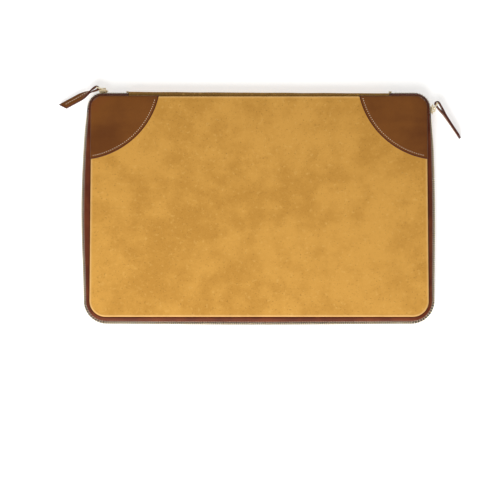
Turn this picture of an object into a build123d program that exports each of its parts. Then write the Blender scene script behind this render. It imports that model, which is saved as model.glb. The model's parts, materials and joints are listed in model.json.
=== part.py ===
"""Zip-around document and laptop case: two stiffened suede covers joined by a suede spine.

The case lies flat on its back cover.  X runs left to right, Y runs from the mouth to the spine
and Z is up.  The origin is the middle of the back cover's outer face.  A two-way zip runs from
one end of the spine, round the three open sides, to the other end.  It stands unzipped: each
slider is parked by a corner of the spine, and the two tooth rows are parted between them.
All sizes are in millimetres and degrees.
"""

import math
import os

from build123d import *

# Covers
PANEL_W = 338.0  # left to right
PANEL_D = 222.0  # mouth to spine
CASE_T = 22.0  # outer face to outer face, closed
SPINE_CORNER_R = 11.0
MOUTH_CORNER_R = 16.0
SUEDE_T = 1.4
BOARD_T = 1.8
LINING_T = 0.8
BOARD_FIT = 0.1  # gap between the board and the turned edge of the suede
EDGE_ROUND = 0.9

# Leather corner patches, let into the suede at the spine corners
PATCH_T = 1.0
PATCH_ALONG = 68.0  # reach along the spine
PATCH_DOWN = 64.0  # reach down the side
PATCH_MIDDLE = 61.5  # reach from the corner across the middle of the patch
PATCH_MIDDLE_ANGLE = 40.0

# Gusset strips that carry the zip, and the spine
GUSSET_T = 1.0
SEAM_ALLOWANCE = 6.0  # width of a strip that lies under the lining
ZIP_RETURN = 37.3  # how far the zip turns in along the spine side, from the side of the panel
SPINE_GAP = 0.3  # between the spine and the strips at its ends
COVER_GAP = 0.3  # between the closed corners of the zip and the moving cover
HINGE_GAP = 0.15

# Zip
CHAIN_OUT = 5.4  # the middle of the tape, out from the edge of the panel
TAPE_T = 0.6
TAPE_FIT = 0.05
TOOTH_PITCH = 2.1
TOOTH_W = 1.2  # along the zip
TOOTH_L = 2.2  # out of the tape
TOOTH_T = 2.0  # through the tape
TOOTH_BITE = 1.4  # how much of a tooth clamps the tape
ROW_GAP = 2.0
TAPE_SHOW = 1.3  # bare tape between the strip and the teeth
ROW_SWING_GAP = 1.5  # the front teeth stop this short of a closed corner, to swing clear of it
STOP_L = 2.5

# Sliders
SLIDER_L = 9.2
SLIDER_PLATE = 0.8
SLIDER_FLANGE = 0.7
SLIDER_CORNER_R = 1.6
CHAIN_FIT = 0.3
CHANNEL_OUTER = 0.4  # room between the teeth and the outer plate
CHANNEL_INNER = 0.9  # room on the inner side, for the bend round a corner
POST_L = 3.7
POST_W = 1.4
BAIL_W = 2.8
BAIL_T = 0.8
BAIL_POST = 0.8
BAIL_FIT = 0.25
RIGHT_SLIDER_DOWN = 11.5  # from the spine edge of the panel
CORNER_TAIL = 1.0  # how far the closed zip runs on past a corner or a slider

# Brass links and leather pulls
LINK_WIRE = 1.3
LINK_REACH = 6.8  # bar to bar
LINK_CLEAR_H = 6.2  # inside height
LINK_WINDOW_R = 0.4
LINK_EASE = 0.3  # rounding of the wire's edges
PULL_L = 43.0
PULL_W = 8.0
PULL_NECK_W = 5.4
PULL_NECK_L = 5.0
PULL_SHOULDER = 13.0  # where the strap is at its full width
PULL_LEATHER = 1.2
PULL_EYE_R = 1.7
PULL_EYE_L = 9.6  # where the eye narrows to its end
PULL_EYE_END_R = 0.5
PULL_JOIN = 16.0  # where the two layers meet
PULL_SLANT = 5.5
PULL_DROOP = 7.5
LEFT_LINK_HEADING = 164.0
LEFT_PULL_HEADING = 207.0
RIGHT_LINK_HEADING = 60.0
RIGHT_PULL_HEADING = -55.0

# Worked out from the sizes above
COVER_T = SUEDE_T + BOARD_T + LINING_T
MID_Z = CASE_T / 2
HALF_W = PANEL_W / 2
HALF_D = PANEL_D / 2
GUSSET_OUT = CHAIN_OUT + GUSSET_T / 2
GUSSET_IN = CHAIN_OUT - GUSSET_T / 2
TOOTH_TIP = ROW_GAP / 2
TOOTH_ROOT = TOOTH_TIP + TOOTH_L
TAPE_EDGE = TOOTH_ROOT - TOOTH_BITE
STRIP_END = TOOTH_ROOT + TAPE_SHOW  # below mid height, where a strip ends
TURN_Z = MID_Z - STRIP_END - CHAIN_FIT  # where a strip has turned upright
SPINE_HALF = HALF_W - ZIP_RETURN
ZIP_END = SPINE_HALF + SPINE_GAP
SLIDER_HALF_H = TOOTH_ROOT + CHAIN_FIT + SLIDER_FLANGE
OUTER_PLATE = TOOTH_T / 2 + CHANNEL_OUTER
INNER_PLATE = TOOTH_T / 2 + CHANNEL_INNER
BAIL_BAR = OUTER_PLATE + SLIDER_PLATE + BAIL_FIT + LINK_WIRE / 2
LEFT_SLIDER_X = -HALF_W + SPINE_CORNER_R
RIGHT_SLIDER_Y = HALF_D - RIGHT_SLIDER_DOWN
FRONT_ROW_LEFT_Y = HALF_D - SPINE_CORNER_R - CORNER_TAIL - SPINE_GAP
FRONT_ROW_RIGHT_Y = RIGHT_SLIDER_Y - SLIDER_L / 2 - CORNER_TAIL - SPINE_GAP


def write(name, shape):
    """One STEP file per node."""
    export_step(shape, os.path.join("parts", name + ".step"))


def to_front(shape):
    """The front cover is the back cover turned over about mid height."""
    return mirror(shape, about=Plane.XY.offset(MID_Z))


def outline(inset):
    """The panel's outline, pulled in by an inset: tighter corners at the spine than at the mouth."""
    corners = [
        (-HALF_W + inset, HALF_D - inset),
        (-HALF_W + inset, -HALF_D + inset),
        (HALF_W - inset, -HALF_D + inset),
        (HALF_W - inset, HALF_D - inset),
    ]
    plain = Sketch() + make_face(Polyline(*corners, close=True))
    by_y = plain.vertices().group_by(Axis.Y)
    eased = fillet(by_y[-1], SPINE_CORNER_R - inset)
    return fillet(eased.vertices().group_by(Axis.Y)[0], MOUTH_CORNER_R - inset)


def patch_shape(side):
    """The face of a corner patch in plan: side is -1 for the left corner, 1 for the right."""
    corner = Vector(side * HALF_W, HALF_D)
    along = corner - Vector(side * PATCH_ALONG, 0)
    down = corner - Vector(0, PATCH_DOWN)
    turn = math.radians(PATCH_MIDDLE_ANGLE)
    middle = corner - Vector(
        side * PATCH_MIDDLE * math.cos(turn), PATCH_MIDDLE * math.sin(turn)
    )
    edge = ThreePointArc(along, middle, down)
    return make_face(edge + Polyline(down, corner, along))


# Back cover


def cover_block():
    """The outside of a cover before it is hollowed: flat, with its outer edge eased."""
    block = extrude(outline(0), SUEDE_T + BOARD_T)
    return fillet(block.faces().sort_by(Axis.Z)[0].edges(), EDGE_ROUND)


def patch(side):
    """A leather quarter patch, flush with the suede it is let into."""
    return cover_block() & extrude(patch_shape(side), PATCH_T)


def panel():
    """Suede skin, turned over the edge of the board all round and cut away under the patches."""
    skin = cover_block()
    skin -= Pos(0, 0, SUEDE_T) * extrude(outline(SUEDE_T), BOARD_T)
    for side in (-1, 1):
        skin -= extrude(patch_shape(side), PATCH_T)
    return skin


def board():
    """Stiffener that fills the turned edge of the suede."""
    return Pos(0, 0, SUEDE_T) * extrude(outline(SUEDE_T + BOARD_FIT), BOARD_T)


def lining():
    """Lining that covers the board and the turned edge."""
    return Pos(0, 0, SUEDE_T + BOARD_T) * extrude(outline(0), LINING_T)


# Gussets, zip tapes and teeth


def zip_path(start, end):
    """The open sides of the case at the edge of the panel, from start to end, by way of the corners.

    start is on the left and end on the right: each is ("spine", x) on the spine side, or
    ("side", y) on the left or right side.
    """
    points = []
    radii = []
    if start[0] == "spine":
        points += [(start[1], HALF_D), (-HALF_W, HALF_D)]
        radii += [SPINE_CORNER_R]
    else:
        points += [(-HALF_W, start[1])]
    points += [(-HALF_W, -HALF_D), (HALF_W, -HALF_D)]
    radii += [MOUTH_CORNER_R, MOUTH_CORNER_R]
    if end[0] == "spine":
        points += [(HALF_W, HALF_D), (end[1], HALF_D)]
        radii += [SPINE_CORNER_R]
    else:
        points += [(HALF_W, end[1])]
    return FilletPolyline(*points, radius=radii)


def corner_path(side, side_y):
    """The closed end of the zip at a spine corner, run in the same sense as the rest of the zip."""
    points = [
        (side * ZIP_END, HALF_D),
        (side * HALF_W, HALF_D),
        (side * HALF_W, side_y),
    ]
    if side > 0:
        points.reverse()
    return FilletPolyline(*points, radius=[SPINE_CORNER_R])


def outward_plane(point, tangent):
    """A plane across the zip: x points out of the case and y points up."""
    return Plane(
        origin=point, x_dir=(tangent.Y, -tangent.X, 0), z_dir=(-tangent.X, -tangent.Y, 0)
    )


def along(path, distance):
    """The outward plane at a distance along the zip."""
    point = path.position_at(distance, position_mode=PositionMode.LENGTH)
    return outward_plane(point, path.tangent_at(distance, position_mode=PositionMode.LENGTH))


def run(section, path):
    """Carries a section, drawn with x outward and y up, along the zip."""
    start = outward_plane(path.position_at(0), path.tangent_at(0))
    return sweep(start * section, path=path)


def strip_section(inner, face_z, end_z):
    """A strip that leaves the cover at height face_z, turns upright and ends at end_z.

    inner is how far out from the panel's edge it begins: negative under the lining.
    """
    outer_r = TURN_Z - face_z
    turn = (GUSSET_OUT - outer_r, TURN_Z)
    inner_r = outer_r - GUSSET_T
    diagonal = math.sqrt(0.5)
    outside = ThreePointArc(
        (turn[0], face_z),
        (turn[0] + outer_r * diagonal, TURN_Z - outer_r * diagonal),
        (GUSSET_OUT, TURN_Z),
    )
    inside = ThreePointArc(
        (GUSSET_IN, TURN_Z),
        (turn[0] + inner_r * diagonal, TURN_Z - inner_r * diagonal),
        (turn[0], face_z + GUSSET_T),
    )
    top = Polyline(
        (GUSSET_OUT, TURN_Z), (GUSSET_OUT, end_z), (GUSSET_IN, end_z), (GUSSET_IN, TURN_Z)
    )
    bottom = Polyline(
        (turn[0], face_z + GUSSET_T), (inner, face_z + GUSSET_T), (inner, face_z), (turn[0], face_z)
    )
    return make_face(outside + top + inside + bottom)


def tape_section():
    """The zip tape that shows between a strip and the teeth, and on into the teeth."""
    low = MID_Z - STRIP_END
    high = MID_Z - TAPE_EDGE
    return Pos(CHAIN_OUT, (low + high) / 2) * Rectangle(TAPE_T, high - low)


def tooth():
    """One brass tooth clamped on the tape's edge, drawn across the zip and centred along it."""
    block = Pos(CHAIN_OUT, MID_Z - TOOTH_TIP - TOOTH_L / 2) * Rectangle(TOOTH_T, TOOTH_L)
    slot = Pos(CHAIN_OUT, MID_Z - TOOTH_ROOT + TOOTH_BITE / 2) * Rectangle(
        TAPE_T + 2 * TAPE_FIT, TOOTH_BITE
    )
    return extrude(block - slot, TOOTH_W / 2, both=True)


def teeth(path, first, last):
    """A row of teeth from one distance along the zip to another."""
    one = tooth()
    count = int((last - first) / TOOTH_PITCH)
    return Compound(
        [
            along(path, first + (index + 0.5) * TOOTH_PITCH).location * one
            for index in range(count)
        ]
    )


def zip_stop(side):
    """Brass stop across both tapes at a closed end of the zip."""
    middle_x = side * (ZIP_END + STOP_L / 2)
    block = Pos(middle_x, HALF_D + CHAIN_OUT, MID_Z) * Box(STOP_L, TOOTH_T, 2 * TOOTH_ROOT)
    depth = TOOTH_ROOT - TAPE_EDGE
    for way in (-1, 1):
        block -= Pos(
            middle_x, HALF_D + CHAIN_OUT, MID_Z + way * (TOOTH_ROOT - depth / 2)
        ) * Box(STOP_L, TAPE_T + 2 * TAPE_FIT, depth)
    return block


def spine_half():
    """The back half of the suede spine, up to the line that it folds about."""
    section = strip_section(-SEAM_ALLOWANCE, COVER_T, MID_Z - HINGE_GAP)
    start = Plane(origin=(-SPINE_HALF, HALF_D, 0), x_dir=(0, 1, 0), z_dir=(1, 0, 0))
    return extrude(start * section, 2 * SPINE_HALF)


# Sliders, links and pulls


def slider():
    """Brass slider: x towards its mouth, y out of the case, z across the zip."""
    height = 2 * SLIDER_HALF_H
    plate_face = Plane.XZ * RectangleRounded(SLIDER_L, height, SLIDER_CORNER_R)
    outer = Pos(0, OUTER_PLATE + SLIDER_PLATE, 0) * extrude(plate_face, SLIDER_PLATE)
    inner = Pos(0, -INNER_PLATE, 0) * extrude(plate_face, SLIDER_PLATE)
    depth = OUTER_PLATE + INNER_PLATE
    middle_y = (OUTER_PLATE - INNER_PLATE) / 2
    post = Pos(SLIDER_L / 2 - POST_L / 2 - SLIDER_FLANGE, middle_y, 0) * Box(POST_L, depth, POST_W)
    body = outer + inner + post
    flange_l = SLIDER_L - 2 * SLIDER_CORNER_R
    outer_h = OUTER_PLATE - CHAIN_FIT - TAPE_T / 2
    inner_h = CHANNEL_INNER - CHAIN_FIT
    for way in (-1, 1):
        flange_z = way * (SLIDER_HALF_H - SLIDER_FLANGE / 2)
        body += Pos(0, OUTER_PLATE - outer_h / 2, flange_z) * Box(flange_l, outer_h, SLIDER_FLANGE)
        body += Pos(0, -INNER_PLATE + inner_h / 2, flange_z) * Box(flange_l, inner_h, SLIDER_FLANGE)
    return body + bail()


def bail():
    """The bridge on the slider's face that the brass link swings in."""
    gap = LINK_WIRE + 2 * BAIL_FIT
    length = 2 * (gap + BAIL_POST)
    rise = gap + BAIL_T
    face = OUTER_PLATE + SLIDER_PLATE
    block = Pos(0, face + rise / 2, 0) * Box(length, rise, BAIL_W)
    ends = block.edges().filter_by(Axis.Z).group_by(Axis.Y)[-1]
    block = fillet(ends, BAIL_T)
    return block - Pos(0, face + gap / 2, 0) * Box(2 * gap, gap, BAIL_W)


def link():
    """Rectangular brass link: x from the bar in the bail to the bar that carries the pull."""
    outer_l = LINK_REACH + LINK_WIRE
    outer_h = LINK_CLEAR_H + 2 * LINK_WIRE
    frame = Plane.XZ * RectangleRounded(outer_l, outer_h, LINK_WIRE)
    window = Plane.XZ * RectangleRounded(LINK_REACH - LINK_WIRE, LINK_CLEAR_H, LINK_WINDOW_R)
    ring = extrude(frame - window, LINK_WIRE / 2, both=True)
    eased = fillet(ring.faces().group_by(Axis.Y)[-1].edges(), LINK_EASE)
    eased = fillet(eased.faces().group_by(Axis.Y)[0].edges(), LINK_EASE)
    return Pos(LINK_REACH / 2, 0, 0) * eased


def pull():
    """Leather strap folded round the link: x to its tip, y through the two layers, z across it."""
    loop_r = PULL_EYE_R + PULL_LEATHER
    tip_l = PULL_L - PULL_JOIN
    tail = Pos(PULL_JOIN + tip_l / 2, 0) * Rectangle(tip_l, 2 * PULL_LEATHER)
    end_round = Pos(PULL_JOIN, 0) * Circle(PULL_LEATHER)
    profile = make_hull((Sketch() + Circle(loop_r) + end_round).edges()) + tail
    eye_end = Pos(PULL_EYE_L, 0) * Circle(PULL_EYE_END_R)
    eye = make_hull((Sketch() + Circle(PULL_EYE_R) + eye_end).edges())
    strap = extrude(profile - eye, PULL_W / 2, both=True)
    return strap & extrude(Plane.XZ * pull_outline(), 2 * loop_r, both=True)


def pull_outline():
    """The strap's face: a narrow neck in the link, full width from the shoulder, a slanted tip."""
    neck = PULL_NECK_W / 2
    full = PULL_W / 2
    back = PULL_EYE_R + 2 * PULL_LEATHER
    return make_face(
        Polyline(
            (-back, -neck),
            (PULL_NECK_L, -neck),
            (PULL_SHOULDER, -full),
            (PULL_L, -full),
            (PULL_L - PULL_SLANT, full),
            (PULL_SHOULDER, full),
            (PULL_NECK_L, neck),
            (-back, neck),
            close=True,
        )
    )


def swung(point, heading, reach):
    """The point at a distance from another in a heading seen from above."""
    turn = math.radians(heading)
    return point + reach * Vector(math.cos(turn), math.sin(turn))


def slider_group(name, place, bail_bar, link_heading, pull_heading):
    """A slider with its link and pull, each set at its own heading."""
    pull_bar = swung(bail_bar, link_heading, LINK_REACH)
    write(name + "_slider", place.location * slider())
    write(name + "_link", Pos(*bail_bar) * Rot(0, 0, link_heading) * link())
    write(
        name + "_pull",
        Pos(*pull_bar) * Rot(0, 0, pull_heading) * Rot(0, PULL_DROOP, 0) * pull(),
    )


os.makedirs("parts", exist_ok=True)

# The two covers are alike, turned face to face
for cover, turned in (("back", lambda shape: shape), ("front", to_front)):
    write(cover + "_panel", turned(panel()))
    write(cover + "_board", turned(board()))
    write(cover + "_lining", turned(lining()))
    write(cover + "_patch_left", turned(patch(-1)))
    write(cover + "_patch_right", turned(patch(1)))
    write("spine_" + cover + "_half", turned(spine_half()))

# The back zip row runs unbroken from one end of the spine to the other
back_path = zip_path(("spine", -ZIP_END), ("spine", ZIP_END))
strip = strip_section(-SEAM_ALLOWANCE, COVER_T, MID_Z - STRIP_END)
write("back_gusset", run(strip, back_path))
write("back_zip_tape", run(tape_section(), back_path))
write("back_zip_teeth", teeth(back_path, STOP_L, back_path.length - STOP_L))

# The front row is free between the parked sliders
front_path = zip_path(("side", FRONT_ROW_LEFT_Y), ("side", FRONT_ROW_RIGHT_Y))
write("front_gusset", to_front(run(strip, front_path)))
write("front_zip_tape", to_front(run(tape_section(), front_path)))
front_row = (ROW_SWING_GAP, front_path.length - ROW_SWING_GAP)
write("front_zip_teeth", to_front(teeth(front_path, *front_row)))

# Behind each slider the zip is closed, and both rows belong to the case
closed_strip = strip_section(COVER_GAP, COVER_T + COVER_GAP, MID_Z - STRIP_END)
for name, side, side_y in (
    ("left", -1, FRONT_ROW_LEFT_Y + SPINE_GAP),
    ("right", 1, FRONT_ROW_RIGHT_Y + SPINE_GAP),
):
    path = corner_path(side, side_y)
    row = (STOP_L, path.length) if side < 0 else (0, path.length - STOP_L)
    write(name + "_corner_gusset", to_front(run(closed_strip, path)))
    write(name + "_corner_tape", to_front(run(tape_section(), path)))
    write(name + "_corner_teeth", to_front(teeth(path, *row)))
    write(name + "_zip_stop", zip_stop(side))

slider_group(
    "left",
    Plane(
        origin=(LEFT_SLIDER_X, HALF_D + CHAIN_OUT, MID_Z), x_dir=(-1, 0, 0), z_dir=(0, 0, -1)
    ),
    Vector(LEFT_SLIDER_X, HALF_D + CHAIN_OUT + BAIL_BAR, MID_Z),
    LEFT_LINK_HEADING,
    LEFT_PULL_HEADING,
)
slider_group(
    "right",
    Plane(
        origin=(HALF_W + CHAIN_OUT, RIGHT_SLIDER_Y, MID_Z), x_dir=(0, -1, 0), z_dir=(0, 0, 1)
    ),
    Vector(HALF_W + CHAIN_OUT + BAIL_BAR, RIGHT_SLIDER_Y, MID_Z),
    RIGHT_LINK_HEADING,
    RIGHT_PULL_HEADING,
)
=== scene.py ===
"""A zip-around laptop case: tan nubuck over stiff boards, brown leather corners, a brass zip.

The case lies closed but unzipped on its back cover.  The spine side is towards +Y, and the two
sliders are parked by the spine corners.  Every length is in metres, in the frame of the model.
"""

import json
import math

import bmesh
import bpy
import numpy as np
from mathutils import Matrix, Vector


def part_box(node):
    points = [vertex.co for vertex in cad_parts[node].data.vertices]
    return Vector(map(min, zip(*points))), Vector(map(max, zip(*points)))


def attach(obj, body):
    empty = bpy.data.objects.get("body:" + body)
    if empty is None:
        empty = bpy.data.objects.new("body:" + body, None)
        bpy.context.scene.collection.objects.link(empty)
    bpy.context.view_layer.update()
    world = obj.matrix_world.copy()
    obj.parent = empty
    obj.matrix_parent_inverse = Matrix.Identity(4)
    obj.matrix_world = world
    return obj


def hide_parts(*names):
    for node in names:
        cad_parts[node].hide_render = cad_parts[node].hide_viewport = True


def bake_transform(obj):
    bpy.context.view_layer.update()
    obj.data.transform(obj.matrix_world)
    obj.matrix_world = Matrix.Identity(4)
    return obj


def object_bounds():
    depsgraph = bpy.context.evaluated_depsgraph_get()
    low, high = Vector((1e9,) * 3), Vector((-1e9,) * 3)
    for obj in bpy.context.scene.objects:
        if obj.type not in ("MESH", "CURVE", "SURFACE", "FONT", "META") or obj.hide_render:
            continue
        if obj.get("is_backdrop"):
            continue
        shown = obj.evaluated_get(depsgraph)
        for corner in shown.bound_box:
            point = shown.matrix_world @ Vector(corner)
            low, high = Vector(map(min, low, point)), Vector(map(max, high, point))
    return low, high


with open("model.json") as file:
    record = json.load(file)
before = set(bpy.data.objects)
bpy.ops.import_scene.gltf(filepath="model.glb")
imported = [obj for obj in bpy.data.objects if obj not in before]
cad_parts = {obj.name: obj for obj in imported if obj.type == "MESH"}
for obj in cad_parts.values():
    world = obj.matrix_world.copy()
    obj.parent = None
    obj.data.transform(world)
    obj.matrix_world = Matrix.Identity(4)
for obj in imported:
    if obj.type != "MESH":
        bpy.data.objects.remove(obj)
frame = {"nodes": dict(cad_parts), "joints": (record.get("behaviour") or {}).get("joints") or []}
cad_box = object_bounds()

# Camera, table and lights.  The case is looked at from almost straight above, from a little way
# towards its mouth, on a pale table that glows a little, under one large soft light with an even
# fill from the room.
MM = 0.001
LOOKED_AT = Vector((-0.0091, -0.0445, 0.022))
EYE_DISTANCE = 1.2
EYE_TILT = math.radians(4.0)
VIEW_WIDTH = 0.499


def aimed(thing, place, target):
    """Puts a lamp at a place and points it at a target."""
    thing.location = place
    thing.rotation_euler = (Vector(target) - Vector(place)).to_track_quat("-Z", "Y").to_euler()
    bpy.context.scene.collection.objects.link(thing)


camera = bpy.data.objects.new("camera", bpy.data.cameras.new("camera"))
camera.data.sensor_width = 36.0
camera.data.lens = camera.data.sensor_width * EYE_DISTANCE / VIEW_WIDTH
camera.location = LOOKED_AT + EYE_DISTANCE * Vector((0, -math.sin(EYE_TILT), math.cos(EYE_TILT)))
camera.rotation_euler = (EYE_TILT, 0, 0)
camera.data.clip_start = 0.05
bpy.context.scene.collection.objects.link(camera)
bpy.context.scene.camera = camera
bpy.context.scene.view_settings.view_transform = "Standard"

for lamp_name, place, size, watts in (
    ("window_light", (-0.2, -0.75, 0.8), 0.7, 12.5),
    ("back_fill", (0.7, 0.8, 1.3), 1.2, 1.6),
):
    lamp = bpy.data.lights.new(lamp_name, "AREA")
    lamp.size = size
    lamp.energy = watts
    aimed(bpy.data.objects.new(lamp_name, lamp), place, (0, 0, 0))

room = bpy.data.worlds.new("room")
room.use_nodes = True
room.node_tree.nodes["Background"].inputs["Color"].default_value = (1.0, 0.985, 0.96, 1)
room.node_tree.nodes["Background"].inputs["Strength"].default_value = 0.34
bpy.context.scene.world = room

bpy.ops.mesh.primitive_plane_add(size=6)
table = bpy.context.object
table.name = "table"
table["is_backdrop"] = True


# How a finish is mixed.  A Value is a number or colour that varies over a surface: sums and
# products of Values are written as sums and products, and a Finish adds any other node.
class Value:
    """A socket in a finish, with arithmetic."""

    def __init__(self, finish, socket):
        self.finish = finish
        self.socket = socket

    def _math(self, operation, first, second):
        return self.finish.node(
            "ShaderNodeMath", {"operation": operation}, {0: first, 1: second}
        )

    def __add__(self, other):
        return self._math("ADD", self, other)

    def __sub__(self, other):
        return self._math("SUBTRACT", self, other)

    def __mul__(self, other):
        return self._math("MULTIPLY", self, other)

    def __rsub__(self, other):
        return self._math("SUBTRACT", other, self)

    __radd__ = __add__
    __rmul__ = __mul__


class Finish:
    """A material and its surface shader."""

    def __init__(self, name, **constants):
        self.material = bpy.data.materials.new(name)
        self.material.use_nodes = True
        self.tree = self.material.node_tree
        self.shader = self.tree.nodes["Principled BSDF"]
        for socket, value in constants.items():
            self.shader.inputs[socket.replace("_", " ")].default_value = value
        self.place = self.node("ShaderNodeTexCoord", out="Object")

    def node(self, kind, settings=None, sockets=None, out=0):
        """Adds a node: its settings first, then its sockets, each a number, a colour or a Value."""
        made = self.tree.nodes.new(kind)
        for key, value in (settings or {}).items():
            setattr(made, key, value)
        for key, value in (sockets or {}).items():
            if isinstance(value, Value):
                self.tree.links.new(value.socket, made.inputs[key])
            else:
                made.inputs[key].default_value = value
        return Value(self, made.outputs[out])

    def ramp(self, factor, low, high):
        """0 below low and 1 above high, with soft shoulders; low may be above high."""
        return self.node(
            "ShaderNodeMapRange",
            {"interpolation_type": "SMOOTHSTEP", "clamp": True},
            {"Value": factor, "From Min": low, "From Max": high},
        )

    def noise(self, per_metre, detail=3.0, rough=0.5, place=None, stretch=None):
        """Soft noise from 0 to 1, with so many blotches to the metre."""
        at = place or self.place
        if stretch:
            at = self.node("ShaderNodeVectorMath", {"operation": "MULTIPLY"}, {0: at, 1: stretch})
        return self.node(
            "ShaderNodeTexNoise",
            None,
            {"Vector": at, "Scale": per_metre, "Detail": detail, "Roughness": rough},
        )

    def cells(self, per_metre, feature="F1", out="Distance"):
        """Cells like the grain of leather."""
        return self.node(
            "ShaderNodeTexVoronoi",
            {"feature": feature},
            {"Vector": self.place, "Scale": per_metre},
            out,
        )

    def mix(self, factor, first, second, how="MIX"):
        """Two colours mixed by a factor."""
        return self.node(
            "ShaderNodeMix",
            {"data_type": "RGBA", "blend_type": how},
            {"Factor": factor, 6: first, 7: second},
            2,
        )

    def carried(self, name):
        """A number that the piece's own points carry."""
        return self.node(
            "ShaderNodeAttribute", {"attribute_name": name}, None, "Fac"
        )

    def surface(self, colour, roughness, height=None, deep=0.0, metallic=None):
        """Feeds the shader, with relief from a height in metres."""
        self.tree.links.new(colour.socket, self.shader.inputs["Base Color"])
        self.tree.links.new(roughness.socket, self.shader.inputs["Roughness"])
        if metallic is not None:
            self.tree.links.new(metallic.socket, self.shader.inputs["Metallic"])
        if height is not None:
            relief = self.node(
                "ShaderNodeBump", None, {"Height": height, "Distance": deep, "Strength": 1.0},
                "Normal",
            )
            self.tree.links.new(relief.socket, self.shader.inputs["Normal"])
        return self.material


def rgb(red, green, blue):
    """A colour as a display shows it, from 0 to 255, in the shader's own scale."""
    return tuple(
        c / 12.92 if c <= 0.04045 else ((c + 0.055) / 1.055) ** 2.4
        for c in (red / 255, green / 255, blue / 255)
    ) + (1.0,)


# The table glows: painted light that lifts the shadows on it to near white and lights the lower edges
# of the case.
glowing_table_finish = Finish("pale_glowing_table", Roughness=0.9, Emission_Strength=0.5)
glowing_table_finish.shader.inputs["Emission Color"].default_value = (1.0, 1.0, 1.0, 1.0)
table.data.materials.append(
    glowing_table_finish.surface(
        glowing_table_finish.mix(glowing_table_finish.noise(3.0), rgb(247, 247, 246), rgb(250, 250, 249)),
        glowing_table_finish.noise(40.0) * 0.1 + 0.8,
    )
)


# The shape of a cover.  Each cover is nubuck stretched over a stiff board, with its edge turned
# under all round.  Its corners are tighter at the spine than at the mouth.
panel_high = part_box("front_panel")[1]
CASE_T = panel_high.z
HALF_W = panel_high.x
HALF_D = panel_high.y
SPINE_R = 11.0 * MM
MOUTH_R = 16.0 * MM
CORNER_STEPS = 12
CROWN = 0.7 * MM
GRID_INSET = 17.0 * MM
GRID_W = 64
GRID_D = 42
FACE_STEP = 6.0 * MM
FACE_SKIN = 0.6 * MM


def mesh_piece(name, points, faces, finish, body=None, smooth=40.0):
    """A piece of the case from points and faces, shaded smooth across all but sharp edges."""
    mesh = bpy.data.meshes.new(name)
    mesh.from_pydata([tuple(p) for p in points], [], faces)
    tidy = bmesh.new()
    tidy.from_mesh(mesh)
    bmesh.ops.remove_doubles(tidy, verts=tidy.verts, dist=2e-6)
    bmesh.ops.dissolve_degenerate(tidy, edges=tidy.edges, dist=1e-7)
    bmesh.ops.recalc_face_normals(tidy, faces=tidy.faces)
    tidy.to_mesh(mesh)
    tidy.free()
    mesh.shade_smooth()
    mesh.set_sharp_from_angle(angle=math.radians(smooth))
    mesh.materials.append(finish)
    piece = bpy.data.objects.new(name, mesh)
    bpy.context.scene.collection.objects.link(piece)
    if body:
        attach(piece, body)
    return piece


def carry(piece, name, measure):
    """Lets a piece's points carry a number, worked out from each point, for its finish."""
    values = [measure(vertex.co) for vertex in piece.data.vertices]
    piece.data.attributes.new(name, "FLOAT", "POINT").data.foreach_set("value", values)


def ring(inset):
    """The outline of a cover pulled in by an inset, always with the same number of points."""
    loop = []
    for sign_x, sign_y, start, radius, steps in (
        (1, -1, -90, MOUTH_R, GRID_D),
        (1, 1, 0, SPINE_R, GRID_W),
        (-1, 1, 90, SPINE_R, GRID_D),
        (-1, -1, 180, MOUTH_R, GRID_W),
    ):
        r = max(radius - inset, 0.0)
        centre = Vector((sign_x * (HALF_W - inset - r), sign_y * (HALF_D - inset - r)))
        for step in range(CORNER_STEPS):
            turn = math.radians(start + 90.0 * step / CORNER_STEPS)
            loop.append(centre + r * Vector((math.cos(turn), math.sin(turn))))
        turn = math.radians(start + 90.0)
        loop.append(centre + r * Vector((math.cos(turn), math.sin(turn))))
        loop.append(steps)
    corners = [i for i, entry in enumerate(loop) if isinstance(entry, int)]
    full = []
    for i, entry in enumerate(loop):
        if i not in corners:
            full.append(entry)
            continue
        first, last = loop[i - 1], loop[(i + 1) % len(loop)]
        full += [first.lerp(last, step / entry) for step in range(1, entry)]
    return full


def stretched_face():
    """How far the nubuck stands off the board: a sheet pinned at its edge and blown up a little.

    The sheet is simulated as cloth; its rise is scaled to the crown of the cover.
    """
    across = round(2 * HALF_W / FACE_STEP)
    deep = round(2 * HALF_D / FACE_STEP)
    points = [
        (HALF_W * (2 * i / across - 1), HALF_D * (2 * j / deep - 1), 0.0)
        for j in range(deep + 1)
        for i in range(across + 1)
    ]
    wide = across + 1
    faces = [
        (j * wide + i, j * wide + i + 1, (j + 1) * wide + i + 1, (j + 1) * wide + i)
        for j in range(deep)
        for i in range(across)
    ]
    mesh = bpy.data.meshes.new("stretched_nubuck")
    mesh.from_pydata(points, [], faces)
    sheet = bpy.data.objects.new("stretched_nubuck", mesh)
    bpy.context.scene.collection.objects.link(sheet)
    held = sheet.vertex_groups.new(name="turned_edge")
    border = [
        k for k in range(len(points)) if k % wide in (0, across) or k // wide in (0, deep)
    ]
    held.add(border, 1.0, "REPLACE")
    cloth = sheet.modifiers.new("cloth", "CLOTH")
    cloth.settings.vertex_group_mass = "turned_edge"
    cloth.settings.use_pressure = True
    cloth.settings.uniform_pressure_force = 0.4
    cloth.settings.tension_stiffness = 40
    cloth.settings.compression_stiffness = 40
    cloth.settings.bending_stiffness = 4
    cloth.settings.shrink_min = -0.004
    cloth.settings.effector_weights.gravity = 0.0
    for frame_number in range(1, 21):
        bpy.context.scene.frame_set(frame_number)
    settled = sheet.evaluated_get(bpy.context.evaluated_depsgraph_get()).to_mesh()
    heights = np.array([vertex.co.z for vertex in settled.vertices])
    bpy.context.scene.frame_set(1)
    bpy.data.objects.remove(sheet)
    return (heights / np.abs(heights).max()).reshape(deep + 1, across + 1)


face_rise = stretched_face()


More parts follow.
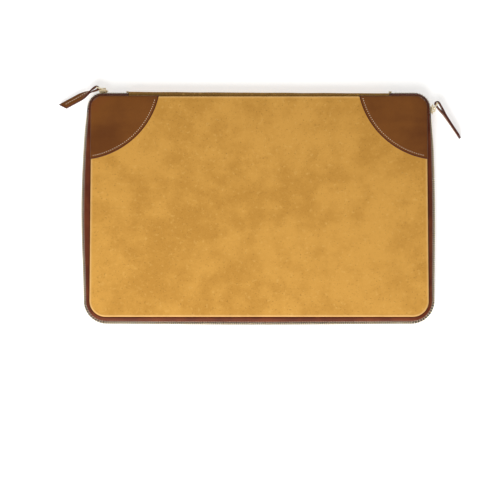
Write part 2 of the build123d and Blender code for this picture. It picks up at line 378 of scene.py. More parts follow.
def rise(x, y):
    """How far a cover's face stands proud of flat at a point."""
    deep, wide = face_rise.shape
    i = min(max((x / HALF_W + 1) / 2 * (wide - 1), 0.0), wide - 1.001)
    j = min(max((y / HALF_D + 1) / 2 * (deep - 1), 0.0), deep - 1.001)
    a, b = int(i), int(j)
    u, v = i - a, j - b
    low = face_rise[b, a] * (1 - u) + face_rise[b, a + 1] * u
    high = face_rise[b + 1, a] * (1 - u) + face_rise[b + 1, a + 1] * u
    return CROWN * (low * (1 - v) + high * v)


def cover_z(depth, front):
    """Height of a point that lies so deep below the outer face of a cover."""
    return CASE_T - depth if front else depth


def plate(name, profile, front, finish, body, crowned):
    """A plate with a cover's outline: its profile runs from outer face to inner face.

    The profile is a list of (inset from the edge, depth below the outer face).
    """
    insets = [(GRID_INSET, profile[0][1])] + profile + [(GRID_INSET, profile[-1][1])]
    points = []
    faces = []
    around = len(ring(0.0))
    for inset, depth in insets:
        for p in ring(inset):
            lift = rise(p.x, p.y) if crowned and depth < FACE_SKIN else 0.0
            points.append((p.x, p.y, cover_z(depth - lift, front)))
    for row in range(len(insets) - 1):
        for k in range(around):
            here, there = row * around, (row + 1) * around
            after = (k + 1) % around
            faces.append((here + k, here + after, there + after, there + k))
    for depth, lifted in ((insets[0][1], crowned), (insets[-1][1], False)):
        first = len(points)
        for j in range(GRID_D + 1):
            for i in range(GRID_W + 1):
                x = (HALF_W - GRID_INSET) * (2 * i / GRID_W - 1)
                y = (HALF_D - GRID_INSET) * (2 * j / GRID_D - 1)
                lift = rise(x, y) if lifted else 0.0
                points.append((x, y, cover_z(depth - lift, front)))
        for j in range(GRID_D):
            for i in range(GRID_W):
                a = first + j * (GRID_W + 1) + i
                faces.append((a, a + 1, a + GRID_W + 2, a + GRID_W + 1))
    return mesh_piece(name, points, faces, finish, body)


def to_edge(point):
    """Distance in plan from a point to the outline of the covers."""
    radius = SPINE_R if point[1] > 0 else MOUTH_R
    x = abs(point[0]) - (HALF_W - radius)
    y = abs(point[1]) - (HALF_D - radius)
    if x > 0 and y > 0:
        return radius - math.hypot(x, y)
    return radius - max(x, y)


# Nubuck.  It is cowhide buffed on the grain side: a short matt nap in tan, cloudy where it has
# been stroked, paler along the turned edge, a painted highlight with some wear, with fine dark pores.
def nubuck(name, pale, deep):
    """The nubuck of the panels and of the spine."""
    hide = Finish(name, Sheen_Weight=0.14, Sheen_Roughness=0.45, Specular_IOR_Level=0.16)
    hide.shader.inputs["Sheen Tint"].default_value = rgb(255, 206, 132)
    clouds = hide.noise(13.0, 4.0, 0.55)
    strokes = hide.noise(55.0, 5.0, 0.65)
    flecks = hide.noise(260.0, 3.0, 0.65)
    nap = hide.noise(900.0, 3.0, 0.7)
    pores = hide.ramp(hide.noise(620.0, 2.0, 0.5), 0.37, 0.29)
    blend = hide.ramp(clouds * 0.5 + strokes * 0.5, 0.38, 0.62)
    colour = hide.mix(blend, deep, pale)
    colour = hide.mix(hide.ramp(flecks, 0.56, 0.72) * 0.4, colour, rgb(226, 178, 96))
    colour = hide.mix(hide.ramp(flecks, 0.42, 0.28) * 0.3, colour, rgb(160, 112, 46))
    colour = hide.mix(hide.ramp(nap, 0.2, 0.8) * 0.16, colour, rgb(222, 172, 94))
    colour = hide.mix(pores * 0.4, colour, rgb(122, 80, 30))
    # Painted highlight and wear: the band along the turned edge is mixed towards a paler tan.
    wear_and_highlight = hide.carried("wear_and_highlight")
    worn_and_lit = wear_and_highlight * (hide.ramp(strokes, 0.2, 0.6) * 0.3 + 0.55)
    colour = hide.mix(worn_and_lit, colour, rgb(230, 184, 118))
    height = nap * 0.6 + strokes * 0.2 + flecks * 0.2
    return hide.surface(colour, nap * 0.12 + 0.78, height, 0.14 * MM)


TAN_PALE = rgb(210, 155, 70)
TAN_DEEP = rgb(190, 136, 55)
panel_hide = nubuck("tan_nubuck", TAN_PALE, TAN_DEEP)

TRAY = [
    (inset * MM, depth * MM)
    for inset, depth in (
        (12.0, 0.0), (7.0, 0.0), (4.2, 0.03), (3.0, 0.1), (2.2, 0.1), (1.6, 0.02), (1.1, 0.0),
        (0.7, 0.1), (0.35, 0.35), (0.1, 0.8), (0.0, 1.3), (0.0, 2.3), (0.12, 2.9), (0.5, 3.2),
        (1.5, 3.2), (1.52, 1.5), (6.0, 1.42),
    )
]
# A band just inside each cover's outline is painted paler: painted highlight and wear on the turned
# edge.
EDGE_HIGHLIGHT_W = 1.7 * MM
EDGE_HIGHLIGHT_AT = 0.6 * MM
for side, body in (("front", "front_cover"), ("back", "case_back")):
    skin = plate(side + "_nubuck", TRAY, side == "front", panel_hide, body, True)
    carry(skin, "wear_and_highlight", lambda co: max(0.0, 1.0 - abs(to_edge(co) - EDGE_HIGHLIGHT_AT) / EDGE_HIGHLIGHT_W))
    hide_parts(side + "_panel")


# Board and lining.  The board is grey pressed fibre, sealed in the turned edge.  The lining is a
# plain weave cotton glued over the board and the turned edge.
fibre = Finish("pressed_fibre_board")
fibre_board = fibre.surface(
    fibre.mix(fibre.noise(900.0, 4.0, 0.7), rgb(120, 112, 98), rgb(160, 150, 132)),
    fibre.noise(300.0) * 0.2 + 0.7,
    fibre.noise(1500.0),
    0.05 * MM,
)
for side in ("front", "back"):
    frame["nodes"][side + "_board"].data.materials.clear()
    frame["nodes"][side + "_board"].data.materials.append(fibre_board)


def weave(finish, per_metre, along, across):
    """Height of a plain weave from two places across the cloth: 0 in the gaps, 1 on the threads."""
    warp = finish.node("ShaderNodeMath", {"operation": "SINE"}, {0: along * (per_metre * math.tau)})
    weft = finish.node("ShaderNodeMath", {"operation": "SINE"}, {0: across * (per_metre * math.tau)})
    return warp * weft * 0.5 + 0.5


cotton = Finish("lining_cotton", Sheen_Weight=0.15, Specular_IOR_Level=0.2)
spot = cotton.node("ShaderNodeSeparateXYZ", None, {0: cotton.place}, "X")
spot_y = cotton.node("ShaderNodeSeparateXYZ", None, {0: cotton.place}, "Y")
threads = weave(cotton, 900.0, spot, spot_y)
slubs = cotton.noise(500.0, 3.0, 0.6, None, (1.0, 0.12, 1.0))
lining_cotton = cotton.surface(
    cotton.mix(threads * 0.5 + slubs * 0.5, rgb(150, 122, 84), rgb(206, 182, 142)),
    slubs * 0.1 + 0.82,
    threads,
    0.09 * MM,
)
LINING = [
    (inset * MM, depth * MM)
    for inset, depth in (
        (12.0, 3.22), (3.0, 3.22), (1.0, 3.22), (0.6, 3.3), (0.45, 3.6), (0.6, 3.9), (1.1, 3.99),
        (2.0, 3.94), (3.0, 3.9), (4.5, 3.99), (8.0, 4.0),
    )
]
for side, body in (("front", "front_cover"), ("back", "case_back")):
    cloth = plate(side + "_cotton_lining", LINING, side == "front", lining_cotton, body, False)
    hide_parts(side + "_lining")


# Corner patches.  Each spine corner of a cover is capped with a quarter of smooth brown cowhide,
# its curved edge painted dark and stitched down, its outer edge turned over with the nubuck.
CORNER_X = HALF_W - SPINE_R
CORNER_Y = HALF_D - SPINE_R
EDGE_R = 1.1 * MM
PATCH_PROUD = 0.55 * MM
PATCH_MIDDLE = 61.5 * MM
PATCH_MIDDLE_ANGLE = math.radians(40.0)
WRAP = 3.6 * MM
PAINT_FADE = (0.9 * MM, 1.3 * MM)
patch_low, patch_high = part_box("front_patch_left")
PATCH_ALONG = patch_high.x - patch_low.x
PATCH_DOWN = patch_high.y - patch_low.y


def outward(x, y):
    """Which way out of the cover is, at a point near its outline."""
    over_x = abs(x) - (HALF_W - (SPINE_R if y > 0 else MOUTH_R))
    over_y = abs(y) - (HALF_D - (SPINE_R if y > 0 else MOUTH_R))
    if over_x > 0 and over_y > 0:
        way = Vector((math.copysign(over_x, x), math.copysign(over_y, y)))
        return way.normalized()
    if over_x > over_y:
        return Vector((math.copysign(1, x), 0))
    return Vector((0, math.copysign(1, y)))


def laid_on(point, proud, front):
    """A point of a skin laid on a cover, standing proud of it and turned down round its edge."""
    x, y = point
    inside = to_edge(point)
    lift = proud + rise(x, y)
    if inside >= EDGE_R:
        return Vector((x, y, cover_z(-lift, front)))
    foot = Vector((x, y)) + outward(x, y) * inside
    lift = proud + rise(foot.x, foot.y)
    angle = (EDGE_R - inside) / (EDGE_R + proud)
    if angle < math.pi / 2:
        inset = EDGE_R - (EDGE_R + lift) * math.sin(angle)
        depth = EDGE_R - (EDGE_R + lift) * math.cos(angle)
    else:
        inset = -lift
        depth = EDGE_R + (angle - math.pi / 2) * (EDGE_R + proud)
    place = foot - outward(x, y) * inset
    return Vector((place.x, place.y, cover_z(depth, front)))


def patch_circle(side):
    """The centre and radius of the circle that a patch's curved edge belongs to."""
    corner = Vector((side * HALF_W, HALF_D))
    reach = Vector((side * math.cos(PATCH_MIDDLE_ANGLE), math.sin(PATCH_MIDDLE_ANGLE)))
    first = corner - Vector((side * PATCH_ALONG, 0))
    a = corner - PATCH_MIDDLE * reach - first
    b = corner - Vector((0, PATCH_DOWN)) - first
    square_on = Vector(
        (
            b.y * a.length_squared - a.y * b.length_squared,
            a.x * b.length_squared - b.x * a.length_squared,
        )
    )
    centre = first + square_on / (2 * (a.x * b.y - a.y * b.x))
    return centre, (first - centre).length


def across_patch(side, radius, least):
    """Headings at which a circle round a patch's centre leaves the cover by so much."""
    centre, _ = patch_circle(side)
    middle = math.pi + PATCH_MIDDLE_ANGLE if side > 0 else -PATCH_MIDDLE_ANGLE
    ends = []
    for way in (-1, 1):
        near, far = 0.0, math.pi * 0.75
        for _ in range(30):
            half = (near + far) / 2
            turn = middle + way * half
            spot = centre + radius * Vector((math.cos(turn), math.sin(turn)))
            if to_edge(spot) > least:
                near = half
            else:
                far = half
        ends.append(middle + way * near)
    return ends


PATCH_RIM = [
    (along * MM, proud * MM)
    for along, proud in (
        (0.0, -0.25), (0.0, 0.25), (0.08, 0.42), (0.25, 0.52), (0.6, 0.56), (1.2, 0.55),
        (1.5, 0.48), (1.8, 0.55), (2.4, 0.55), (2.8, 0.44), (3.2, 0.44), (3.6, 0.55), (4.4, 0.55),
        (5.6, 0.55), (7.2, 0.55),
    )
]
PATCH_COLUMNS = 110
PATCH_FINE = 9.0 * MM
PATCH_LAST = 1.4 * MM
FINE_ROW = 0.45 * MM
COARSE_ROW = 2.2 * MM

leather = Finish("brown_cowhide", Specular_IOR_Level=0.24)
leather_clouds = leather.noise(16.0, 4.0, 0.55)
leather_streaks = leather.noise(30.0, 4.0, 0.6, None, (0.25, 1.0, 1.0))
leather_grain = leather.cells(1500.0, "F1")
leather_fine = leather.noise(3000.0, 2.0, 0.5)
leather_tone = leather.mix(
    leather.ramp(leather_clouds * 0.6 + leather_streaks * 0.4, 0.38, 0.62),
    rgb(102, 54, 10),
    rgb(124, 72, 20),
)
leather_tone = leather.mix(
    leather.ramp(leather_clouds, 0.6, 0.72) * 0.45, leather_tone, rgb(122, 58, 24)
)
leather_tone = leather.mix(
    leather.ramp(leather_grain, 0.6, 0.1) * 0.18, leather_tone, rgb(66, 34, 12)
)
leather_edge = leather.carried("painted")
leather_tone = leather.mix(leather_edge, leather_tone, rgb(74, 24, 12))
brown_cowhide = leather.surface(
    leather_tone,
    leather.ramp(leather_streaks, 0.2, 0.8) * 0.14 + 0.42 - leather_edge * 0.08,
    leather_grain * 0.75 + leather_fine * 0.25,
    0.06 * MM,
)


def patch_piece(name, side, front, body):
    """One patch: rows of points concentric with its curved edge, run out round the cover's edge."""
    centre, radius = patch_circle(side)
    rows = list(PATCH_RIM)
    while radius - rows[-1][0] > PATCH_LAST:
        left = radius - rows[-1][0]
        step = FINE_ROW if left < PATCH_FINE else COARSE_ROW
        rows.append((rows[-1][0] + step, PATCH_PROUD))
    points = []
    for along, proud in rows:
        start, end = across_patch(side, radius - along, -WRAP)
        for column in range(PATCH_COLUMNS + 1):
            share = (1 - math.cos(math.pi * column / PATCH_COLUMNS)) / 2
            turn = start + (end - start) * share
            spot = centre + (radius - along) * Vector((math.cos(turn), math.sin(turn)))
            points.append(laid_on(spot, proud, front))
    wide = PATCH_COLUMNS + 1
    faces = [
        (row * wide + k, row * wide + k + 1, (row + 1) * wide + k + 1, (row + 1) * wide + k)
        for row in range(len(rows) - 1)
        for k in range(PATCH_COLUMNS)
    ]
    return mesh_piece(name, points, faces, brown_cowhide, body)


def soft_step(value, low, high):
    """0 below low and 1 above high, with soft shoulders."""
    share = min(max((value - low) / (high - low), 0.0), 1.0)
    return share * share * (3 - 2 * share)


def painted_edge(point, side):
    """1 on the painted curved edge of a patch, and 0 away from it."""
    centre, radius = patch_circle(side)
    inside = radius - (Vector((point.x, point.y)) - centre).length
    return 1 - soft_step(inside, *PAINT_FADE)


# Thread.  The patches, gussets and pulls are sewn with a bonded off-white thread, whose stitches
# lie in a shallow groove.
THREAD_R = 0.38 * MM
STITCH_PITCH = 2.3 * MM
STITCH_L = 0.95 * MM
STITCH_SIDES = 6

thread = Finish("bonded_thread", Specular_IOR_Level=0.3, Sheen_Weight=0.2)
thread_twist = thread.noise(1800.0, 2.0, 0.5, None, (1.0, 1.0, 2.0))
sewing_thread = thread.surface(
    thread.mix(thread_twist, rgb(232, 192, 156), rgb(250, 232, 208)),
    thread_twist * 0.1 + 0.6,
    thread_twist,
    0.05 * MM,
)


def sewn(name, holes, body, pitch=STITCH_PITCH, length=STITCH_L, radius=THREAD_R):
    """A row of stitches along a line of (place, way up) pairs, in one piece."""
    travelled = [0.0]
    for (here, _), (there, _) in zip(holes, holes[1:]):
        travelled.append(travelled[-1] + (there - here).length)
    points = []
    faces = []
    leg = 0
    for number in range(int(travelled[-1] / pitch)):
        middle = (number + 0.5) * pitch
        while travelled[leg + 1] < middle:
            leg += 1
        share = (middle - travelled[leg]) / (travelled[leg + 1] - travelled[leg])
        centre = holes[leg][0].lerp(holes[leg + 1][0], share)
        up = holes[leg][1].lerp(holes[leg + 1][1], share).normalized()
        run = (holes[leg + 1][0] - holes[leg][0]).normalized()
        across = up.cross(run).normalized()
        first = len(points)
        for reach, thick, sunk in (
            (-0.5, 0.25, -0.9), (-0.42, 0.75, -0.3), (-0.2, 1.0, 0.0), (0.2, 1.0, 0.0),
            (0.42, 0.75, -0.3), (0.5, 0.25, -0.9),
        ):
            spine = centre + run * (reach * length) + up * (sunk * radius)
            spine += across * (reach * 0.28 * radius)
            for k in range(STITCH_SIDES):
                turn = math.tau * k / STITCH_SIDES
                points.append(
                    spine
                    + across * (math.cos(turn) * thick * radius)
                    + up * (math.sin(turn) * thick * radius * 0.8)
                )
        for row in range(5):
            for k in range(STITCH_SIDES):
                a = first + row * STITCH_SIDES + k
                b = first + row * STITCH_SIDES + (k + 1) % STITCH_SIDES
                faces.append((a, b, b + STITCH_SIDES, a + STITCH_SIDES))
        faces.append(tuple(range(first, first + STITCH_SIDES)))
        faces.append(tuple(range(first + 5 * STITCH_SIDES, first + 6 * STITCH_SIDES)))
    return mesh_piece(name, points, faces, sewing_thread, body)


PATCH_SEAM_IN = 3.0 * MM
PATCH_SEAM_ENDS = 1.6 * MM
PATCH_SEAM_PROUD = 0.6 * MM
PATCH_SEAM_STEPS = 80
for cover, body in (("front", "front_cover"), ("back", "case_back")):
    front = cover == "front"
    for side, hand in ((-1, "left"), (1, "right")):
        piece = patch_piece(f"{cover}_cowhide_patch_{hand}", side, front, body)
        carry(piece, "painted", lambda co: painted_edge(co, side))
        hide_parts(f"{cover}_patch_{hand}")
        centre, radius = patch_circle(side)
        start, end = across_patch(side, radius - PATCH_SEAM_IN, PATCH_SEAM_ENDS)
        seam = []
        for step in range(PATCH_SEAM_STEPS + 1):
            turn = start + (end - start) * step / PATCH_SEAM_STEPS
            spot = centre + (radius - PATCH_SEAM_IN) * Vector((math.cos(turn), math.sin(turn)))
            lie = Vector((0, 0, 1 if front else -1))
            seam.append((laid_on(spot, PATCH_SEAM_PROUD, front), lie))
        sewn(f"{cover}_patch_stitches_{hand}", seam, body)


# Gusset strips.  A strip of maroon leather is sewn under the edge of each cover and rolls down to
# the zip.  Round the spine corners, where the zip is closed, the front strip belongs to the case.
ZIP_END_X = 132.0 * MM
MOUTH_X = HALF_W - MOUTH_R
MOUTH_Y = HALF_D - MOUTH_R
ZIP_STEP = 3.0 * MM


def straight(first, last, way):
    """A straight leg of the zip."""
    first, last, way = Vector(first), Vector(last), Vector(way)
    return (last - first).length, lambda share: (first.lerp(last, share), way)


def corner(centre, radius, start):
    """A quarter turn of the zip, anticlockwise from a heading in degrees."""

    def at(share):
        turn = math.radians(start + 90.0 * share)
        way = Vector((math.cos(turn), math.sin(turn)))
        return Vector(centre) + radius * way, way

    return radius * math.pi / 2, at


LEGS = [
    straight((-ZIP_END_X, HALF_D), (-CORNER_X, HALF_D), (0, 1)),
    corner((-CORNER_X, CORNER_Y), SPINE_R, 90),
    straight((-HALF_W, CORNER_Y), (-HALF_W, -MOUTH_Y), (-1, 0)),
    corner((-MOUTH_X, -MOUTH_Y), MOUTH_R, 180),
    straight((-MOUTH_X, -HALF_D), (MOUTH_X, -HALF_D), (0, -1)),
    corner((MOUTH_X, -MOUTH_Y), MOUTH_R, 270),
    straight((HALF_W, -MOUTH_Y), (HALF_W, CORNER_Y), (1, 0)),
    corner((CORNER_X, CORNER_Y), SPINE_R, 0),
    straight((CORNER_X, HALF_D), (ZIP_END_X, HALF_D), (0, 1)),
]
ZIP_L = sum(length for length, _ in LEGS)


def zip_at(distance):
    """A point on the cover's edge so far along the zip, and the way out of the case there."""
    for length, at in LEGS:
        if distance <= length:
            return at(distance / length)
        distance -= length
    return LEGS[-1][1](1.0)


TUCK = 0.9 * MM
BOWED = ((2, 3.2 * MM), (4, 0.9 * MM), (6, 1.5 * MM))
TUCK_FADE = 34 * MM
FULL_BOW_OUT = 5 * MM
LEFT_TUCK = LEGS[0][0] + LEGS[1][0]
RIGHT_TUCK = ZIP_L - LEGS[7][0] - LEGS[8][0]


def hump(distance, leg, height):
    """A gentle swelling over one leg of the zip."""
    before = sum(length for length, _ in LEGS[:leg])
    share = (distance - before) / LEGS[leg][0]
    return height * math.sin(math.pi * min(max(share, 0.0), 1.0)) ** 1.5


def swell(distance):
    """How much further out the relaxed zip bows than its corners, and how far in it is at its ends."""
    bowed = sum(hump(distance, leg, height) for leg, height in BOWED)
    left = 1 - soft_step(distance, LEFT_TUCK, LEFT_TUCK + TUCK_FADE)
    right = soft_step(distance, RIGHT_TUCK - TUCK_FADE, RIGHT_TUCK)
    return bowed - TUCK * (left + right)


LEFT_SLIDER_AT = LEGS[0][0]
RIGHT_SLIDER_AT = ZIP_L - LEGS[8][0] - LEGS[7][0] - 0.5 * MM
PARTING_GAP = 0.3 * MM
FRONT_FROM = LEFT_SLIDER_AT + LEGS[1][0] + 1.3 * MM
FRONT_TO = RIGHT_SLIDER_AT - 5.9 * MM
LEFT_CLOSED = FRONT_FROM - PARTING_GAP
RIGHT_CLOSED = FRONT_TO + PARTING_GAP
MESHED_END = 5.0 * MM
PARTED_START = 4.0 * MM


def closed(distance):
    """1 where the two rows are meshed behind a slider, and 0 where they are parted."""
    left = soft_step(distance, LEFT_SLIDER_AT - MESHED_END, LEFT_SLIDER_AT + PARTED_START)
    right = soft_step(distance, RIGHT_SLIDER_AT - PARTED_START, RIGHT_SLIDER_AT + MESHED_END)
    return 1 - left + right


def zip_point(distance, out, depth, front):
    """A point on the zip side of the case: out from the cover's edge, deep below its face."""
    foot, way = zip_at(distance)
    bowed = out + swell(distance) * min(max(out / FULL_BOW_OUT, 0.0), 1.0)
    place = foot + way * bowed
    return Vector((place.x, place.y, cover_z(depth, front)))


def strip_piece(name, section, start, end, front, finish, body):
    """Carries a closed section of (out, depth) pairs along the zip and caps its ends."""
    steps = max(4, round((end - start) / ZIP_STEP))
    points = []
    for step in range(steps + 1):
        distance = start + (end - start) * step / steps
        points += [zip_point(distance, out, depth, front) for out, depth in section]
    sides = len(section)
    faces = []
    for step in range(steps):
        for k in range(sides):
            a, b = step * sides + k, step * sides + (k + 1) % sides
            faces.append((a, b, b + sides, a + sides))
    faces.append(tuple(range(sides)))
    faces.append(tuple(range(steps * sides, (steps + 1) * sides)))
    return mesh_piece(name, points, faces, finish, body, 50.0)


def rolled_section(line, thick):
    """A leather strip's section: a line of (out, depth) pairs given a thickness and a soft edge."""
    outer = [Vector(p) * MM for p in line]
    inner = []
    for k, point in enumerate(outer):
        before, after = outer[max(k - 1, 0)], outer[min(k + 1, len(outer) - 1)]
        run = (after - before).normalized()
        inner.append(point + Vector((-run.y, run.x)) * thick)
    end = (outer[-1] + inner[-1]) / 2 + (outer[-1] - outer[-2]).normalized() * thick * 0.4
    return outer + [end] + inner[::-1]


STRIP_LINE = (
    (-2.0, 3.9), (0.0, 3.75), (0.8, 3.62), (1.6, 3.66), (2.4, 3.85), (3.1, 4.25), (3.7, 4.85),
    (4.1, 5.5), (4.32, 6.1), (4.44, 6.5), (4.52, 6.9), (4.58, 7.35),
)
STRIP_T = 0.9 * MM
STRIP_INNER_EDGE = (0.35, 4.35)
CREASE_SHADE_FADE = (0.2 * MM, 1.6 * MM)
STRIP_SEAM_OUT = 4.42 * MM
STRIP_SEAM_DEPTH = 6.1 * MM
STRIP_SEAM_TILT = 0.35
STRIP_STITCH_PITCH = 2.6 * MM
STRIP_STITCH_L = 1.9 * MM
STRIP_THREAD_R = 0.26 * MM

maroon = Finish("maroon_leather", Specular_IOR_Level=0.14)
maroon_clouds = maroon.noise(40.0, 4.0, 0.6)
maroon_grain = maroon.cells(1700.0)
maroon_tone = maroon.mix(
    maroon.ramp(maroon_clouds, 0.36, 0.64), rgb(88, 38, 20), rgb(112, 54, 28)
)
maroon_tone = maroon.mix(
    maroon.ramp(maroon_grain, 0.55, 0.1) * 0.25, maroon_tone, rgb(52, 22, 18)
)
# Painted shade: the strip is darkened in the crease under the edge of a cover.
maroon_tone = maroon.mix(maroon.carried("seam") * 0.75, maroon_tone, rgb(58, 22, 12))
maroon_leather = maroon.surface(
    maroon_tone,
    maroon_clouds * 0.12 + 0.46,
    maroon_grain * 0.8 + maroon_clouds * 0.2,
    0.06 * MM,
)


def crease_shade(co):
    """Painted shade: 1 in the crease under the edge of a cover, fading out across the strip."""
    return 1 - soft_step(-to_edge(co), *CREASE_SHADE_FADE)


STRIPS = (
    ("back_gusset", "back_rolled_gusset", 0.0, ZIP_L, False, "case_back"),
    ("front_gusset", "front_rolled_gusset", FRONT_FROM, FRONT_TO, True, "front_cover"),
    ("left_corner_gusset", "left_corner_rolled_gusset", 0.0, LEFT_CLOSED, True, "case_back"),
    ("right_corner_gusset", "right_corner_rolled_gusset", RIGHT_CLOSED, ZIP_L, True, "case_back"),
)
strip_section = rolled_section(STRIP_LINE, STRIP_T)
corner_section = rolled_section((STRIP_INNER_EDGE,) + STRIP_LINE[3:], STRIP_T)
for node, name, start, end, front, body in STRIPS:
    section = corner_section if "corner" in node else strip_section
    strip = strip_piece(name, section, start, end, front, maroon_leather, body)
    carry(strip, "seam", crease_shade)
    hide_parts(node)
    holes = []
    for step in range(round((end - start) / ZIP_STEP) + 1):
        distance = min(start + step * ZIP_STEP, end)
        way = zip_at(distance)[1]
        tilt = STRIP_SEAM_TILT if front else -STRIP_SEAM_TILT
        lie = Vector((way.x, way.y, tilt)).normalized()
        holes.append((zip_point(distance, STRIP_SEAM_OUT, STRIP_SEAM_DEPTH, front), lie))
    row = sewn(
        name + "_stitches", holes, body, STRIP_STITCH_PITCH, STRIP_STITCH_L, STRIP_THREAD_R
    )


# Zip.  Cast brass teeth are clamped on the corded edges of two dark woven tapes.  The rows mesh
# behind the sliders and bow apart between them.
TOOTH_PITCH = 2.1 * MM
TOOTH_H = 2.3 * MM
LEAN = math.radians(46.0)
ROW_OUT = 5.75 * MM
ROW_DEPTH = 8.1 * MM
CORD_REACH = 0.85 * MM
BACK_CORD_REACH = 1.15 * MM
TAPE_BACK = 0.9 * MM
TAPE_SEWN_AT = (4.35 * MM, 6.3 * MM)
TAPE_HALF_T = 0.3 * MM
CORD_HALF_T = 0.42 * MM
MESHED_DEEPER = 1.7 * MM
FACING_IN = 0.35 * MM
FACING_LEAN = 0.02
ROLL_LEFT = (8 * MM, 40 * MM)
ROLL_RIGHT = (-45 * MM, -8 * MM)

tape_cloth = Finish("zip_tape_cloth", Sheen_Weight=0.1, Specular_IOR_Level=0.2)
tape_x = tape_cloth.node("ShaderNodeSeparateXYZ", None, {0: tape_cloth.place}, "X")
tape_y = tape_cloth.node("ShaderNodeSeparateXYZ", None, {0: tape_cloth.place}, "Y")
tape_z = tape_cloth.node("ShaderNodeSeparateXYZ", None, {0: tape_cloth.place}, "Z")
tape_threads = weave(tape_cloth, 1400.0, tape_x + tape_y, tape_z + tape_x)
tape_finish = tape_cloth.surface(
    tape_cloth.mix(tape_threads, rgb(18, 9, 7), rgb(44, 24, 19)),
    tape_threads * 0.1 + 0.75,
    tape_threads,
    0.06 * MM,
)

brass = Finish("polished_brass", Specular_IOR_Level=0.5)
brass_handling = brass.noise(400.0, 4.0, 0.6)
brass_scratches = brass.noise(2500.0, 2.0, 0.5, None, (0.15, 1.0, 1.0))
polished_brass = brass.surface(
    brass.mix(brass.ramp(brass_handling, 0.3, 0.7), rgb(242, 214, 160), rgb(255, 248, 224)),
    brass_scratches * 0.16 + brass_handling * 0.08 + 0.2,
    brass_scratches,
    0.02 * MM,
    brass_handling * 0.2 + 0.2,
)


def row_depth(distance):
    """How deep below its cover's face the middle of a tooth row lies."""
    return ROW_DEPTH + closed(distance) * MESHED_DEEPER


def opened(distance):
    """0 where the rows face each other, by the sliders, and 1 where they have rolled outwards."""
    left = soft_step(distance - LEFT_SLIDER_AT, *ROLL_LEFT)
    return left * (1 - soft_step(distance - RIGHT_SLIDER_AT, *ROLL_RIGHT))


def row_out(distance):
    """How far out of the cover's edge the middle of a row lies."""
    return ROW_OUT - FACING_IN * (1 - opened(distance))


def row_lean(distance):
    """How far the rolled rows lean out."""
    return LEAN * opened(distance) + FACING_LEAN


def tape_piece(name, start, end, front, body):
    """The woven tape between a strip and its teeth, with a cord at its inner edge."""
    steps = max(4, round((end - start) / ZIP_STEP))
    points = []
    for step in range(steps + 1):
        distance = start + (end - start) * step / steps
        lean = row_lean(distance)
        deep = row_depth(distance)
        down, out = math.cos(lean), math.sin(lean)
        middle = row_out(distance)
        root = (middle - TAPE_BACK * out, deep - TAPE_BACK * down)
        reach = CORD_REACH if front else BACK_CORD_REACH
        tip = (middle + reach * out, deep + reach * down)
        line = ((TAPE_SEWN_AT, TAPE_HALF_T), (root, TAPE_HALF_T), (tip, CORD_HALF_T))
        for at, thick in line:
            points.append(zip_point(distance, at[0] - thick, at[1], front))
        for at, thick in line[::-1]:
            points.append(zip_point(distance, at[0] + thick, at[1], front))
    faces = []
    for step in range(steps):
        for k in range(6):
            a, b = step * 6 + k, step * 6 + (k + 1) % 6
            faces.append((a, b, b + 6, a + 6))
    faces += [tuple(range(6)), tuple(range(steps * 6, steps * 6 + 6))]
    return mesh_piece(name, points, faces, tape_finish, body)


TOOTH_LEVELS = (
    (-0.5, 0.4, 0.7), (-0.44, 0.5, 1.0), (-0.1, 0.54, 1.15), (0.12, 0.54, 1.15),
    (0.24, 0.5, 1.05), (0.4, 0.48, 0.95), (0.5, 0.36, 0.7),
)
TOOTH_SIDES = 8
TOOTH_SQUARE = 0.96


def tooth_row(name, start, end, offset, front, body):
    """A row of teeth: each has two legs that clamp the tape, a shoulder and a rounded head."""
    points = []
    faces = []
    sides = TOOTH_SIDES
    room = TOOTH_PITCH / 2
    for number in range(math.ceil((start + room) / TOOTH_PITCH), int((end - room) / TOOTH_PITCH)):
        distance = (number + offset) * TOOTH_PITCH
        way = zip_at(distance)[1]
        run = Vector((-way.y, way.x, 0))
        out = Vector((way.x, way.y, 0))
        lean = row_lean(distance)
        toward = Vector((0, 0, -math.cos(lean) if front else math.cos(lean))) + out * math.sin(lean)
        thick = toward.cross(run).normalized()
        middle = zip_point(distance, row_out(distance), row_depth(distance), front)
        first = len(points)
        for level, half_w, half_t in TOOTH_LEVELS:
            for k in range(sides):
                turn = math.tau * (k + 0.5) / sides
                square = TOOTH_SQUARE / max(abs(math.cos(turn)), abs(math.sin(turn)))
                points.append(
                    middle
                    + toward * (level * TOOTH_H)
                    + run * (math.cos(turn) * square * half_w * MM)
                    + thick * (math.sin(turn) * square * half_t * MM)
                )
        for row in range(len(TOOTH_LEVELS) - 1):
            for k in range(sides):
                a = first + row * sides + k
                b = first + row * sides + (k + 1) % sides
                faces.append((a, b, b + sides, a + sides))
        faces.append(tuple(range(first, first + sides)))
        last = first + (len(TOOTH_LEVELS) - 1) * sides
        faces.append(tuple(range(last, last + sides)))
    return mesh_piece(name, points, faces, polished_brass, body, 60.0)


STOP_ROOM = 2.5 * MM
SWING_ROOM = 1.5 * MM
ZIP_ROWS = (
    ("back_zip", 0.0, ZIP_L, STOP_ROOM, STOP_ROOM, 0.0, False, "case_back"),
    ("front_zip", FRONT_FROM, FRONT_TO, SWING_ROOM, SWING_ROOM, 0.0, True, "front_cover"),
    ("left_corner", 0.0, LEFT_CLOSED, STOP_ROOM, 0.0, 0.5, True, "case_back"),
    ("right_corner", RIGHT_CLOSED, ZIP_L, 0.0, STOP_ROOM, 0.5, True, "case_back"),
)
for name, start, end, bare_first, bare_last, offset, front, body in ZIP_ROWS:
    tape = tape_piece(name + "_woven_tape", start, end, front, body)
    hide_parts(name + "_tape")
    row = tooth_row(
        name + "_cast_teeth", start + bare_first, end - bare_last, offset, front, body
    )
    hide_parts(name + "_teeth")

